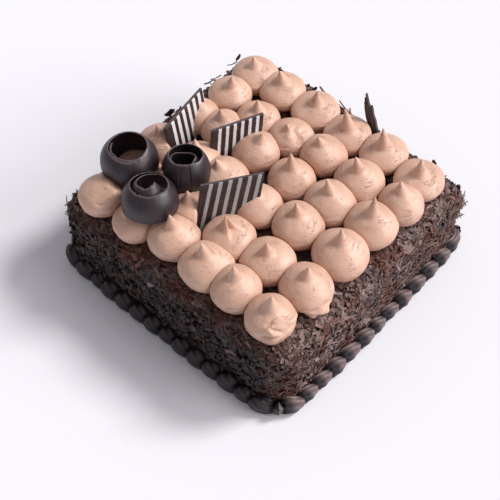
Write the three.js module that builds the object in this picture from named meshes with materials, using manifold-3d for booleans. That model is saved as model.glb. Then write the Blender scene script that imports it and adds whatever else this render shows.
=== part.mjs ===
// A square chocolate cake: a block coated in chocolate shavings, a piped border round its
// foot, six rows of six piped kisses on top, and three rolled curls, three striped plates
// and a tall shard of chocolate standing among the kisses.
// Millimetres, +Z up, origin at the centre of the base. The front side faces -Y.
import * as THREE from 'three';
import { mergeVertices } from 'three/addons/utils/BufferGeometryUtils.js';
import Module from 'manifold-3d';

const wasm = await Module();
wasm.setup();

// ---- driving dimensions ----
const GAP = 0.3;                  // clear space between neighbouring pieces
const CAKE_SIDE = 196;            // about 8 inches, over the shavings
const CAKE_HEIGHT = 62;
const CAKE_CORNERS = [20, 14, 20, 14];  // radii of the upright corners, from front right
const CAKE_BOW = [1.5, 1.5];      // how far the front and back, and the other two sides, bulge
const CAKE_RIM = 7;               // radius of the top edge
const CAKE_SKEW = 0.025;          // how far the front and back drift along Y, for each mm of X
const COAT_RELIEF = 1.1;          // how far the coat of shavings swells in and out
const FOOT_SWELL = 0.2;           // share of the swell behind the border

const BORDER_OUT = 9;             // how far the border stands out past the cake's side
const BORDER_HEIGHT = 16;
const BEADS = [14, 13, 14, 13];   // beads along each side, from the front
const BEAD_WAIST = 0.70;          // size between two beads, as a share of the bead's own size

const KISS_SHOULDER = 24;         // height of the round bulb, under the pulled tip
const KISS_SIDES = 10;
const KISS_POINT = 0.9;           // how near to the tip, from the shoulder, the last ring lies

const PLATE_THICK = 3;
const PLATE_FOOT = 2;             // height of a plate's lower edge above the cake's top

const CURL_WALL = 1.9;            // thickness of the rolled strip
const CURL_CLEAR = 0.75;          // clear space between two turns of the strip
const CURL_STEP = Math.PI / 9;    // turn between two sections of the strip
const ROOM_SIDES = 16;            // sides of the barrel that a curl presses into the kisses

// ---- colours ----
const COLOURS = {
  shavings: 0x2b1c1a,
  border: 0x241a1c,
  cream: 0xcf9f8a,
  curl: 0x2c2428,
  plate: 0x8f8586,
};

const cake = new THREE.Group();

function finish(name, roughness) {
  return new THREE.MeshStandardMaterial({ color: COLOURS[name], roughness, metalness: 0 });
}

const MATERIALS = {
  shavings: finish('shavings', 0.7),
  border: finish('border', 0.4),
  cream: finish('cream', 0.55),
  curl: finish('curl', 0.35),
  plate: finish('plate', 0.4),
};

// ---- closed meshes ----

// A closed body from points and triangles, with its faces turned outwards.
function closedBody(points, triangles) {
  let volume = 0;
  for (const [a, b, c] of triangles) {
    volume += points[a].dot(new THREE.Vector3().crossVectors(points[b], points[c]));
  }
  const outward = volume < 0 ? triangles.map(([a, b, c]) => [a, c, b]) : triangles;
  const geometry = new THREE.BufferGeometry().setFromPoints(points);
  geometry.setIndex(outward.flat());
  return geometry;
}

// Joins rings of points, one ring after another, and closes the two ends.
// A 'fan' end meets at the ring's middle; a 'ladder' end joins its two long sides.
function loft(rings, ends = 'fan') {
  const count = rings[0].length;
  const points = rings.flat();
  const triangles = [];
  for (let ring = 0; ring + 1 < rings.length; ring++) {
    for (let k = 0; k < count; k++) {
      const a = ring * count + k;
      const b = ring * count + (k + 1) % count;
      triangles.push([a, b, b + count], [a, b + count, a + count]);
    }
  }
  const last = (rings.length - 1) * count;
  if (ends === 'ladder') {
    for (let k = 0; k + 1 < count / 2; k++) {
      const across = count - 1 - k;
      triangles.push([k, across, across - 1], [k, across - 1, k + 1]);
      triangles.push([last + k, last + across - 1, last + across]);
      triangles.push([last + k, last + k + 1, last + across - 1]);
    }
    return closedBody(points, triangles);
  }
  for (const [start, flip] of [[0, true], [last, false]]) {
    const middle = points.length;
    const ring = points.slice(start, start + count);
    points.push(ring.reduce((sum, p) => sum.add(p), new THREE.Vector3()).divideScalar(count));
    for (let k = 0; k < count; k++) {
      const a = start + k;
      const b = start + (k + 1) % count;
      triangles.push(flip ? [b, a, middle] : [a, b, middle]);
    }
  }
  return closedBody(points, triangles);
}

// The same body with its repeated vertices joined and its flat triangles dropped.
function joined(geometry) {
  geometry.deleteAttribute('normal');
  geometry.deleteAttribute('uv');
  const merged = mergeVertices(geometry, 1e-4);
  const place = merged.getAttribute('position');
  const points = Array.from({ length: place.count }, (_, k) => (
    new THREE.Vector3().fromBufferAttribute(place, k)));
  const index = Array.from(merged.getIndex().array);
  const triangles = [];
  for (let k = 0; k < index.length; k += 3) {
    const [a, b, c] = index.slice(k, k + 3);
    if (a !== b && b !== c && c !== a) triangles.push([a, b, c]);
  }
  return closedBody(points, triangles);
}

// ---- cuts ----

function toSolid(geometry) {
  const mesh = new wasm.Mesh({
    numProp: 3,
    vertProperties: new Float32Array(geometry.getAttribute('position').array),
    triVerts: new Uint32Array(geometry.getIndex().array),
  });
  return new wasm.Manifold(mesh);
}

function toGeometry(solid) {
  const mesh = solid.getMesh();
  const geometry = new THREE.BufferGeometry();
  const positions = new THREE.BufferAttribute(new Float32Array(mesh.vertProperties), 3);
  geometry.setAttribute('position', positions);
  geometry.setIndex(new THREE.BufferAttribute(new Uint32Array(mesh.triVerts), 1));
  return geometry;
}

// The largest lump of a cut body: a scrap that a cut has parted from the rest is dropped.
function largestLump(geometry) {
  const place = geometry.getAttribute('position');
  const index = Array.from(geometry.getIndex().array);
  const lump = Array.from({ length: place.count }, (_, k) => k);
  const find = (k) => {
    while (lump[k] !== k) k = lump[k] = lump[lump[k]];
    return k;
  };
  for (let k = 0; k < index.length; k += 3) {
    lump[find(index[k + 1])] = find(index[k]);
    lump[find(index[k + 2])] = find(index[k]);
  }
  const volumes = new Map();
  const corner = (k) => new THREE.Vector3().fromBufferAttribute(place, k);
  for (let k = 0; k < index.length; k += 3) {
    const [a, b, c] = index.slice(k, k + 3).map(corner);
    const key = find(index[k]);
    volumes.set(key, (volumes.get(key) ?? 0) + a.dot(b.cross(c)));
  }
  const kept = [...volumes.keys()].reduce((a, b) => (volumes.get(a) > volumes.get(b) ? a : b));
  geometry.setIndex(index.filter((_, k) => find(index[k - k % 3]) === kept));
  return joined(geometry);
}

function addPiece(name, geometry, material) {
  const piece = new THREE.Mesh(geometry, material);
  piece.name = name;
  cake.add(piece);
  return piece;
}

// ---- the cake and its coat ----

// A point of the cake's outline, seen from above. share: along one side, from the middle of
// its left corner (-1) to the middle of its right corner (1). out: how far outside the outline.
function outlinePoint(quarter, share, out, z) {
  const half = CAKE_SIDE / 2;
  const corner = CAKE_CORNERS[share < 0 ? (quarter + 3) % 4 : quarter];
  const straight = half - corner;
  const along = Math.abs(share) * (straight + corner * Math.PI / 4);
  const turn = Math.max(0, along - straight) / corner;
  const x = Math.min(along, straight) + (corner + out) * Math.sin(turn);
  const y = -straight - (corner + out) * Math.cos(turn) - CAKE_BOW[quarter % 2] * (1 - share ** 2);
  return new THREE.Vector3(Math.sign(share) * x, y, z)
    .applyAxisAngle(new THREE.Vector3(0, 0, 1), quarter * Math.PI / 2);
}

// The coat is uneven, in long low swells.
function coatSwell(x, y, z) {
  return COAT_RELIEF * Math.sin(x / 9 + 1.3) * Math.cos(y / 11 + z / 13);
}

function cakeBlock() {
  const arc = CAKE_RIM * (1 - Math.SQRT1_2);   // halfway round the top edge
  const levels = [
    { z: 0, inset: 0, swell: 0 },
    { z: BORDER_HEIGHT, inset: 0, swell: FOOT_SWELL },
    { z: CAKE_HEIGHT * 0.55, inset: 0, swell: 1 },
    { z: CAKE_HEIGHT - CAKE_RIM, inset: 0, swell: 1 },
    { z: CAKE_HEIGHT - arc, inset: arc, swell: 0.6 },
    { z: CAKE_HEIGHT, inset: CAKE_RIM, swell: 0 },
  ];
  const shares = [-1, -0.93, -0.86, -0.79, -0.4, 0, 0.4, 0.79, 0.86, 0.93];
  const rings = levels.map(({ z, inset, swell }) => (
    [0, 1, 2, 3].flatMap((quarter) => shares.map((share) => {
      const point = outlinePoint(quarter, share, -inset, z);
      const grow = 1 + swell * coatSwell(point.x, point.y, z) / (CAKE_SIDE / 2);
      return new THREE.Vector3(point.x * grow, point.y * grow, z);
    }))));
  return loft(rings);
}

// ---- the piped border ----

// One side's run of beads, from the middle of one corner to the middle of the next.
function borderRun(quarter) {
  const inner = GAP + COAT_RELIEF * FOOT_SWELL;
  const end = 1 - 2 * GAP / CAKE_SIDE;
  const perBead = 3;
  const steps = BEADS[quarter] * perBead;
  const rings = [];
  for (let step = 0; step <= steps; step++) {
    const share = end * (2 * step / steps - 1);
    const bead = Math.abs(Math.sin(Math.PI * step / perBead));
    const size = BEAD_WAIST + (1 - BEAD_WAIST) * bead;
    const reach = BORDER_OUT * size;
    const height = BORDER_HEIGHT * size;
    const section = [
      [0, 0], [reach * 0.75, 0], [reach, height * 0.28], [reach * 0.93, height * 0.62],
      [reach * 0.55, height * 0.93], [0, height],
    ];
    rings.push(section.map(([out, z]) => outlinePoint(quarter, share, inner + out, z)));
  }
  return loft(rings);
}

// ---- the piped kisses ----

// Where each kiss stands, row by row from the front, and each row from the left:
// [x, y, radius, height of its tip, how far the tip leans along X, and along Y].
const KISS_ROWS = [
  [[-75, -80, 16.5, 25, 12, 11], [-43.3, -80, 15.7, 30, -2, 0], [-15, -72, 18, 34, -2, -1],
    [16.5, -74.4, 18.3, 33, -4.5, 0], [41.1, -74, 17, 34, -2, 0], [71.2, -75.6, 16.3, 34, 0, 1]],
  [[-76, -50, 17, 26, 0, 0], [-48, -50, 17, 32, 1, 0], [-21, -51, 17.5, 31, -3, 1],
    [12, -49, 18, 31, -4, 1], [42, -45, 18.2, 30, -1, -1], [73, -44, 17.5, 32, 0, 1]],
  [[-77, -22, 17, 30, -2, -1], [-47, -18, 17, 31, -4, 3], [-24, -15, 17, 27, -7, -1],
    [8, -17, 17, 27, -3, 0], [38, -11, 18, 32, -3, 0], [73, -10, 19, 34, -3, 2]],
  [[-75.5, 14.7, 14, 30, -4, 0], [-55, 16, 16, 31, -2, 0], [-25, 17, 17, 29, 4, 3],
    [10, 15, 16.5, 34, -4, 2], [42, 17, 18, 33, -5, 0], [73, 21, 18, 37, -2, 3]],
  [[-75, 45, 16, 29, 2, 0], [-43, 39, 16.5, 29, -2, 2], [-15, 43, 16.5, 27, -1, -4],
    [12, 46, 16.5, 29, -4, -3], [45, 44, 17.5, 33, -6, 0], [77, 48, 15.5, 31, -4, 1]],
  [[-74.5, 71, 17.3, 27, -2.5, 1], [-49, 73, 17, 29, -3, -1], [-19.5, 74, 17.5, 28, -0.5, 2],
    [12, 71.8, 17, 33.5, -5, 0], [41, 75, 17.3, 34, -3.5, 0], [73, 73, 17.3, 31, -1, 0]],
];

// The outline of a kiss: [height as a share of the shoulder's, radius as a share of its own].
const KISS_OUTLINE = [[0, 0.64], [0.18, 0.87], [0.45, 1], [0.76, 0.73], [1, 0.25]];

const KISSES = KISS_ROWS.flatMap((row, j) => row.map(([x, y, radius, tip, leanX, leanY], i) => ({
  name: `kiss_${i + 1}_${j + 1}`, x, y, radius, tip, leanX, leanY,
})));

// A kiss keeps to its own side of the line between it and each neighbour.
function pressFlat(point, kiss) {
  for (const other of KISSES) {
    const across = new THREE.Vector2(other.x - kiss.x, other.y - kiss.y);
    const apart = across.length();
    const reach = kiss.radius + other.radius;
    if (other === kiss || apart > reach) continue;
    across.divideScalar(apart);
    const limit = apart * kiss.radius / reach - GAP / 2;
    const over = point.x * across.x + point.y * across.y - limit;
    if (over > 0) {
      point.x -= across.x * over;
      point.y -= across.y * over;
    }
  }
  return point;
}

// A kiss stands upright at its foot and leans ever more towards its tip.
function kissBody(kiss) {
  const shoulder = Math.min(KISS_SHOULDER, kiss.tip - 4);
  const rings = KISS_OUTLINE.map(([up, wide]) => {
    const z = up * shoulder;
    const lean = (z / kiss.tip) ** 3;
    return Array.from({ length: KISS_SIDES }, (_, k) => {
      const angle = 2 * Math.PI * k / KISS_SIDES;
      const x = kiss.leanX * lean + kiss.radius * wide * Math.cos(angle);
      const y = kiss.leanY * lean + kiss.radius * wide * Math.sin(angle);
      return pressFlat(new THREE.Vector3(x, y, z), kiss);
    });
  });
  const tip = new THREE.Vector3(kiss.leanX, kiss.leanY, kiss.tip);
  const nearTip = rings.at(-1).map((p) => p.clone().lerp(tip, KISS_POINT));
  return loft([...rings, nearTip]);
}

// ---- the rolled curls ----

// Each curl is a strip rolled into a barrel. at: the middle of its belly. above and below: how
// far the strip reaches from there. bulge: how far below and above the barrel would close.
// laps: turns of the strip. tighten: how much closer each turn lies inside the first one.
// start: where the strip's outer end is. winding: 1 where the strip turns from +X towards +Y.
// hollow: whether a kiss reaches up inside it.
const CURLS = [
  { name: 'curl_left', at: [-75, -53.5, 84.6], radius: 19.8, below: 15, above: 13.6,
    bulge: [27, 18.6], laps: 1.3, tighten: 0, start: -0.1, winding: -1, tilt: [0, 0],
    hollow: true },
  { name: 'curl_right', at: [-40, -35, 85], radius: 16.2, below: 10, above: 14.5,
    bulge: [17, 21], laps: 1.9, tighten: 4.5, start: -0.55, winding: 1, tilt: [-0.15, -0.12],
    hollow: false },
  { name: 'curl_front', at: [-39, -69, 88], radius: 18.8, below: 5, above: 12.7,
    bulge: [40, 17.5], laps: 1.9, tighten: 4, start: 1.7, winding: 1, tilt: [-0.16, -0.15],
    hollow: false },
];
const TUCK_FROM = 0.75;           // share of the first turn after which the strip tucks inside
const CURL_LEVELS = [-1, -0.35, 0.35, 1];

function barrelRadius(curl, height) {
  const [below, above] = curl.bulge;
  return curl.radius * Math.sqrt(1 - (height / (height < 0 ? below : above)) ** 2);
}

function levelHeight(curl, level) {
  return level * (level < 0 ? curl.below : curl.above);
}

// How far inside the barrel the strip lies, after so many laps.
function tuckedIn(curl, lap) {
  const tuck = THREE.MathUtils.smoothstep(lap, TUCK_FROM, 1);
  return tuck * (CURL_WALL + CURL_CLEAR) + curl.tighten * Math.max(0, lap - 1);
}

function curlBody(curl) {
  const steps = Math.round(curl.laps * 2 * Math.PI / CURL_STEP);
  const rings = [];
  for (let step = 0; step <= steps; step++) {
    const turned = step * CURL_STEP;
    const angle = curl.start + curl.winding * turned;
    const inward = tuckedIn(curl, turned / (2 * Math.PI));
    const side = (depth, levels) => levels.map((level) => {
      const z = levelHeight(curl, level);
      const radius = barrelRadius(curl, z) - inward - depth;
      return new THREE.Vector3(radius * Math.cos(angle), radius * Math.sin(angle), z);
    });
    rings.push([...side(0, CURL_LEVELS), ...side(CURL_WALL, [...CURL_LEVELS].reverse())]);
  }
  return loft(rings, 'ladder');
}

// The room that a curl takes up among the kisses: a barrel, with a hollow middle
// where a kiss reaches up inside it.
function curlRoom(curl) {
  const outer = CURL_LEVELS.map((level) => {
    const height = levelHeight(curl, level);
    const radius = barrelRadius(curl, height) + 2 * GAP;
    return new THREE.Vector2(radius, height + GAP * Math.sign(level));
  });
  const wall = CURL_WALL + tuckedIn(curl, curl.laps) + 4 * GAP;
  const inner = [...outer].reverse().map((p) => new THREE.Vector2(p.x - wall, p.y));
  const below = new THREE.Vector2(0, outer[0].y);
  const above = new THREE.Vector2(0, outer.at(-1).y);
  const profile = curl.hollow ? [...outer, ...inner, outer[0]] : [below, ...outer, above];
  const lathe = new THREE.LatheGeometry(profile, ROOM_SIDES);
  return joined(lathe.rotateX(Math.PI / 2));
}

// ---- the striped plates ----

// foot: the middle of the lower edge. yaw: the way the plate runs, from +X. leanBack: from
// upright, away from its striped face. slant: how far the top is pushed along, for its height.
const PLATES = [
  { name: 'plate_left', foot: [-67.2, -2.5], length: 44, height: 32,
    yaw: 100, leanBack: 10, slant: 0.05 },
  { name: 'plate_middle', foot: [-34, 6], length: 38.5, height: 32,
    yaw: 67, leanBack: 10, slant: 0.16 },
  { name: 'plate_front', foot: [1.5, -41.5], length: 42, height: 38,
    yaw: 57, leanBack: 18, slant: 0.22 },
];

function plateBody(plate, grow = 0) {
  const half = plate.length / 2 + grow;
  const push = plate.slant * plate.height;
  const outline = new THREE.Shape([
    new THREE.Vector2(-half, -grow),
    new THREE.Vector2(half, -grow),
    new THREE.Vector2(half + push, plate.height + grow),
    new THREE.Vector2(-half + push, plate.height + grow),
  ]);
  const depth = PLATE_THICK + 2 * grow;
  const slab = new THREE.ExtrudeGeometry(outline, { depth, bevelEnabled: false });
  return joined(slab.translate(0, 0, -PLATE_THICK - grow));
}

// ---- the tall shard ----

// lean: how far the top lies from the spot above the foot.
const SHARD = { foot: [23.5, 91], height: 33.5, lean: [-12, -1], width: 7.5, tipWidth: 5, thick: 1.6 };
const SHARD_BEND = 0.75;          // below 1, the shard leans most near its foot

function shardBody() {
  const rings = [];
  const steps = 7;
  for (let step = 0; step <= steps; step++) {
    const up = step / steps;
    const bend = up ** SHARD_BEND;
    const half = THREE.MathUtils.lerp(SHARD.width, SHARD.tipWidth, up) / 2;
    const x = SHARD.lean[0] * bend;
    const y = SHARD.lean[1] * bend;
    const z = SHARD.height * up;
    rings.push([[-half, -1], [half, -1], [half, 1], [-half, 1]].map(([along, side]) => (
      new THREE.Vector3(x + along, y + side * SHARD.thick / 2, z))));
  }
  return loft(rings);
}

// ---- putting the cake together ----

const TOP = CAKE_HEIGHT + GAP;

// The skew of the cake's outline.
const drift = new THREE.Matrix4().makeShear(CAKE_SKEW, 0, 0, 0, 0, 0);

addPiece('cake_block', cakeBlock().applyMatrix4(drift), MATERIALS.shavings);

for (const [quarter, side] of ['front', 'right', 'back', 'left'].entries()) {
  addPiece(`border_${side}`, borderRun(quarter).applyMatrix4(drift), MATERIALS.border);
}

// What stands among the kisses leaves its own shape in the soft cream.
const rooms = [];

for (const curl of CURLS) {
  const piece = addPiece(curl.name, curlBody(curl), MATERIALS.curl);
  piece.position.set(...curl.at);
  piece.rotation.set(...curl.tilt, 0);
  piece.updateMatrix();
  rooms.push(curlRoom(curl).applyMatrix4(piece.matrix));
}

for (const plate of PLATES) {
  const piece = addPiece(plate.name, plateBody(plate), MATERIALS.plate);
  const leanBack = THREE.MathUtils.degToRad(plate.leanBack);
  const yaw = THREE.MathUtils.degToRad(plate.yaw);
  piece.position.set(...plate.foot, CAKE_HEIGHT + PLATE_FOOT);
  piece.rotation.set(Math.PI / 2 - leanBack, 0, yaw, 'ZYX');
  piece.updateMatrix();
  rooms.push(plateBody(plate, GAP).applyMatrix4(piece.matrix));
}

const roomSolids = rooms.map(toSolid);

for (const kiss of KISSES) {
  const body = kissBody(kiss);
  body.translate(kiss.x, kiss.y, TOP);
  let solid = toSolid(body);
  for (const room of roomSolids) {
    solid = solid.subtract(room);
  }
  const pressed = largestLump(toGeometry(solid)).translate(-kiss.x, -kiss.y, -TOP);
  const piece = addPiece(kiss.name, pressed, MATERIALS.cream);
  piece.position.set(kiss.x, kiss.y, TOP);
}

const shard = addPiece('shard_back', shardBody(), MATERIALS.curl);
shard.position.set(...SHARD.foot, TOP);

export default cake;
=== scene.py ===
"""A square chocolate cake under shavings, with piped kisses, rolled curls and striped plates."""

import math
from itertools import product

import bpy
import numpy as np
from mathutils import Euler, Matrix, Vector


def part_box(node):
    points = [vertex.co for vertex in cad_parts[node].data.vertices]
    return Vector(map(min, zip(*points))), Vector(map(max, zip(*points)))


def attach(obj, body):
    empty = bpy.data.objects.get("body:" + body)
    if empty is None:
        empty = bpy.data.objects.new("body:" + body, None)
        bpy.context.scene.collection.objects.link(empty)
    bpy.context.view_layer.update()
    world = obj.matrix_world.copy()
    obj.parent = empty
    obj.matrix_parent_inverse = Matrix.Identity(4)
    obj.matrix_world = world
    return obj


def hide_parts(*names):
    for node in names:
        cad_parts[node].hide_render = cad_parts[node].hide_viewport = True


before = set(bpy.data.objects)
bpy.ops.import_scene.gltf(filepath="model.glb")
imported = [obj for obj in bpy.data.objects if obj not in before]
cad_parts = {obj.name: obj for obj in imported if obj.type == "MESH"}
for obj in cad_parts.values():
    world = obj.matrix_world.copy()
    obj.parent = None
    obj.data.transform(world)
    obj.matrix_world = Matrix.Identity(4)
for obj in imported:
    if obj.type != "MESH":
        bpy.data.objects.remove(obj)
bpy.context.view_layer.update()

# Lengths are in millimetres here, and every mesh is made in metres by make_piece.
MM = 0.001
DICE = np.random.default_rng(36)

# ---- driving sizes ----
# Those of the cake, the border, the curls' wall and the plates are the part's own.
CAKE_SIDE = 196.0
CAKE_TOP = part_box("cake_block")[1].z / MM
CAKE_CORNERS = (20.0, 14.0, 20.0, 14.0)  # their radii, from the front right one round
CAKE_BOW = 1.5  # how far the middle of a side stands out
CAKE_RIM = 7.0  # radius of the top's edge
CAKE_SKEW = 0.025
KISS_FOOT_SHARE = 0.64  # the CAD kiss's foot, as a share of its radius
KISS_SHOULDER = 24.0  # the CAD kiss leans above this height
KISS_POINT = 0.9  # how much of the way from there to the tip it reaches
KISS_HIDDEN_TIP = 29.0  # height of a kiss whose CAD peak is cut away
KISS_FOOT = 0.60  # the foot's radius as a share of the kiss's own, seen up close
KISS_BELLY = 11.0  # height of its widest part
KISS_DOME = 23.0  # height of its round part
KISS_SINK = 0.6  # how deep it stands in the coat
PEAK_WIDTH = 4.2  # radius of the peak's own foot, on the dome
PEAK_LEAST = 5.0  # least height of a peak above its dome
PEAK_TIP = 0.45
BORDER_OUT = 9.0
BORDER_HEIGHT = 16.0
BEADS = (14, 13, 14, 13)  # beads along each side, from the front
CURL_WALL = 1.9
CURL_END_WALL = 0.35  # where the strip thins out at its outer end
CURL_TAPER = 0.07  # the part of a lap over which it does so
CURL_CLEAR = 0.15  # between two laps
TUCK_FROM = 0.84  # the lap from which the strip runs inwards
PLATE_THICK = 3.0
PLATE_FOOT = 2.0  # height of the plates' feet above the cake's top


# ---- making meshes ----

def smooth_noise(points, size, seed):
    """Smooth noise from -1 to 1 at each point, with features of about that size."""
    spot = np.asarray(points, float) / size + 31.7 * seed
    cell = np.floor(spot).astype(np.int64)
    part = spot - cell
    part = part * part * (3 - 2 * part)
    total = np.zeros(len(spot))
    for step in product((0, 1), repeat=3):
        x, y, z = (cell + step).T
        mixed = (x * 73856093) ^ (y * 19349663) ^ (z * 83492791)
        mixed = (mixed ^ (mixed >> 13)) * 1274126177 & 0xFFFFFF
        weight = np.prod(np.where(step, part, 1 - part), axis=1)
        total += weight * (mixed / 0xFFFFFF * 2 - 1)
    return total


def smooth_step(value, low, high):
    share = np.clip((value - low) / (high - low), 0, 1)
    return share * share * (3 - 2 * share)


def unit(vectors):
    """The same vectors, each of length one."""
    return vectors / np.maximum(np.linalg.norm(vectors, axis=1, keepdims=True), 1e-9)


def turn_from(angle, turn):
    """How far each angle lies past the turn, from minus half a circle to half a circle."""
    return (angle - turn + math.pi) % (2 * math.pi) - math.pi


def spread(*coordinates):
    """Points from grids of their coordinates, row by row."""
    grids = np.broadcast_arrays(*coordinates)
    return np.stack(grids, axis=-1).reshape(-1, len(coordinates))


def vertex_normals(points, faces):
    """Unit normals of a mesh of four-sided faces."""
    a, b, c, d = (points[faces[:, k]] for k in range(4))
    across = np.cross(c - a, d - b)
    total = np.zeros_like(points)
    for k in range(4):
        np.add.at(total, faces[:, k], across)
    return unit(total)


def make_piece(name, points, faces, materials, replaces=(), smooth=True, uv=None,
               face_material=None, tone=None):
    """A mesh piece of the cake, from points in millimetres. uv: one pair for each point."""
    mesh = bpy.data.meshes.new(name)
    mesh.from_pydata((np.asarray(points) * MM).tolist(), [], [list(map(int, f)) for f in faces])
    mesh.validate()
    mesh.update()
    for material in materials:
        mesh.materials.append(material)
    mesh.polygons.foreach_set("use_smooth", [smooth] * len(mesh.polygons))
    if face_material is not None:
        mesh.polygons.foreach_set("material_index", np.asarray(face_material, np.int32))
    if uv is not None:
        corners = np.empty(len(mesh.loops), np.int32)
        mesh.loops.foreach_get("vertex_index", corners)
        layer = mesh.uv_layers.new(name="lay")
        layer.data.foreach_set("uv", np.asarray(uv, float)[corners].ravel())
    if tone is not None:
        layer = mesh.attributes.new("tone", "FLOAT", "POINT")
        layer.data.foreach_set("value", np.asarray(tone, float))
    piece = bpy.data.objects.new(name, mesh)
    bpy.context.scene.collection.objects.link(piece)
    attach(piece, "root")
    if replaces:
        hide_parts(*replaces)


def grid_faces(rows, columns, closed=False):
    """Four-sided faces over a grid of points, row by row. closed: the columns meet again."""
    row, column = np.meshgrid(np.arange(rows - 1), np.arange(columns - (not closed)), indexing="ij")
    following = (column + 1) % columns
    corners = [row * columns + column, row * columns + following,
               (row + 1) * columns + following, (row + 1) * columns + column]
    return np.stack([c.ravel() for c in corners], axis=1)


def rim_faces(rows, columns):
    """Faces that join the rims of two like grids of points, the second numbered after the first."""
    number = np.arange(rows * columns).reshape(rows, columns)
    loop = np.concatenate([number[0], number[1:, -1], number[-1, -2::-1], number[-2:0:-1, 0]])
    following = np.roll(loop, -1)
    return np.stack([loop, loop + rows * columns, following + rows * columns, following], axis=1)


# ---- materials ----

class Finish:
    """A material in the making, with short ways to add nodes to it."""

    def __init__(self, name, roughness, specular):
        self.material = bpy.data.materials.new(name)
        self.material.use_nodes = True
        self.tree = self.material.node_tree
        self.shader = self.tree.nodes["Principled BSDF"]
        self.shader.inputs["Roughness"].default_value = roughness
        self.shader.inputs["Specular IOR Level"].default_value = specular

    def node(self, kind, **values):
        made = self.tree.nodes.new("ShaderNode" + kind)
        for key, value in values.items():
            if hasattr(made, key):
                setattr(made, key, value)
            else:
                made.inputs[key.replace("_", " ")].default_value = value
        return made

    def link(self, source, target):
        self.tree.links.new(source, target)

    def place(self):
        return self.node("TexCoord").outputs["Object"]

    def lay(self):
        return self.node("UVMap", uv_map="lay").outputs["UV"]

    def stretched(self, vector, scale):
        made = self.node("Mapping")
        made.inputs["Scale"].default_value = scale
        self.link(vector, made.inputs["Vector"])
        return made.outputs["Vector"]

    def noise(self, scale, detail, vector, roughness=0.5):
        made = self.node("TexNoise", Scale=scale, Detail=detail, Roughness=roughness)
        self.link(vector, made.inputs["Vector"])
        return made.outputs["Fac"]

    def math(self, operation, first, second=0.0):
        made = self.node("Math", operation=operation)
        for socket, value in zip(made.inputs, (first, second)):
            if isinstance(value, (int, float)):
                socket.default_value = value
            else:
                self.link(value, socket)
        return made.outputs[0]

    def times(self, first, second):
        return self.math("MULTIPLY", first, second)

    def ramp(self, value, places, colours):
        """The colour for a value, blended between colours that stand at those places."""
        made = self.node("ValToRGB")
        ramp = made.color_ramp
        while len(ramp.elements) < len(places):
            ramp.elements.new(0.5)
        for element, spot, colour in zip(ramp.elements, places, colours):
            element.position = spot
            element.color = (*colour, 1)
        self.link(value, made.inputs["Fac"])
        return made.outputs["Color"]

    def between(self, value, low, high):
        """The value as a share, from 0 at low to 1 at high."""
        made = self.node("MapRange")
        made.inputs["From Min"].default_value = low
        made.inputs["From Max"].default_value = high
        self.link(value, made.inputs["Value"])
        return made.outputs["Result"]

    def bump(self, height, distance, strength, under):
        """A normal raised by a height, on top of another normal."""
        made = self.node("Bump", Strength=strength, Distance=distance)
        self.link(height, made.inputs["Height"])
        self.link(under, made.inputs["Normal"])
        return made.outputs["Normal"]

    def grain(self, scale, depth, strength):
        """The fine grain that all finishes share, as a normal."""
        made = self.node("Group", node_tree=GRAIN, Scale=scale, Depth=depth,
                         Strength=strength)
        return made.outputs["Normal"]

    def tone(self):
        return self.node("Attribute", attribute_name="tone").outputs["Fac"]

    def red(self, colour):
        split = self.node("SeparateColor")
        self.link(colour, split.inputs["Color"])
        return split.outputs["Red"]

    def mix(self, share, first, second):
        """From the first colour to the second, which is a fixed one, by the share."""
        made = self.node("Mix", data_type="RGBA")
        factor = next(s for s in made.inputs if s.name == "Factor" and s.type == "VALUE")
        under, over = (s for s in made.inputs if s.type == "RGBA")
        self.link(share, factor)
        self.link(first, under)
        over.default_value = (*second, 1)
        return next(s for s in made.outputs if s.type == "RGBA")

    def done(self, colour, normal):
        self.link(colour, self.shader.inputs["Base Color"])
        self.link(normal, self.shader.inputs["Normal"])
        return self.material


def grain_group():
    """A node group that turns fine noise into a bumpy normal."""
    group = bpy.data.node_groups.new("fine_grain", "ShaderNodeTree")
    for name in ("Scale", "Depth", "Strength"):
        group.interface.new_socket(name, in_out="INPUT", socket_type="NodeSocketFloat")
    group.interface.new_socket("Normal", in_out="OUTPUT", socket_type="NodeSocketVector")
    given = group.nodes.new("NodeGroupInput")
    noise = group.nodes.new("ShaderNodeTexNoise")
    noise.inputs["Detail"].default_value = 3.0
    bump = group.nodes.new("ShaderNodeBump")
    result = group.nodes.new("NodeGroupOutput")
    place = group.nodes.new("ShaderNodeTexCoord").outputs["Object"]
    for source, target in ((place, noise.inputs["Vector"]),
                           (given.outputs["Scale"], noise.inputs["Scale"]),
                           (given.outputs["Depth"], bump.inputs["Distance"]),
                           (given.outputs["Strength"], bump.inputs["Strength"]),
                           (noise.outputs["Fac"], bump.inputs["Height"]),
                           (bump.outputs["Normal"], result.inputs["Normal"])):
        group.links.new(source, target)
    return group


GRAIN = grain_group()


CREAM_TONES = ((0.62, 0.376, 0.278), (0.72, 0.465, 0.365))
# Painted shade for the cream's cracks and pits.
CREAM_CRACK_SHADE = (0.34, 0.15, 0.09)
CREAM_PIT_SHADE = (0.34, 0.20, 0.15)
COAT_TONES = ((0.005, 0.003, 0.004), (0.014, 0.008, 0.010), (0.045, 0.030, 0.033))
FLAKE_TONES = ((0.008, 0.004, 0.005), (0.053, 0.025, 0.021), (0.25, 0.165, 0.155))
REDDISH = (0.115, 0.033, 0.021)
BLUISH = (0.085, 0.070, 0.085)
BORDER_TONES = ((0.012, 0.008, 0.013), (0.022, 0.016, 0.021))
# The painted highlight on the border shells' crests.
BORDER_PAINTED_HIGHLIGHT = (0.19, 0.135, 0.13)
CURL_TONES = ((0.012, 0.006, 0.010), (0.024, 0.014, 0.020))
CURL_STREAK = (0.075, 0.053, 0.063)
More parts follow.
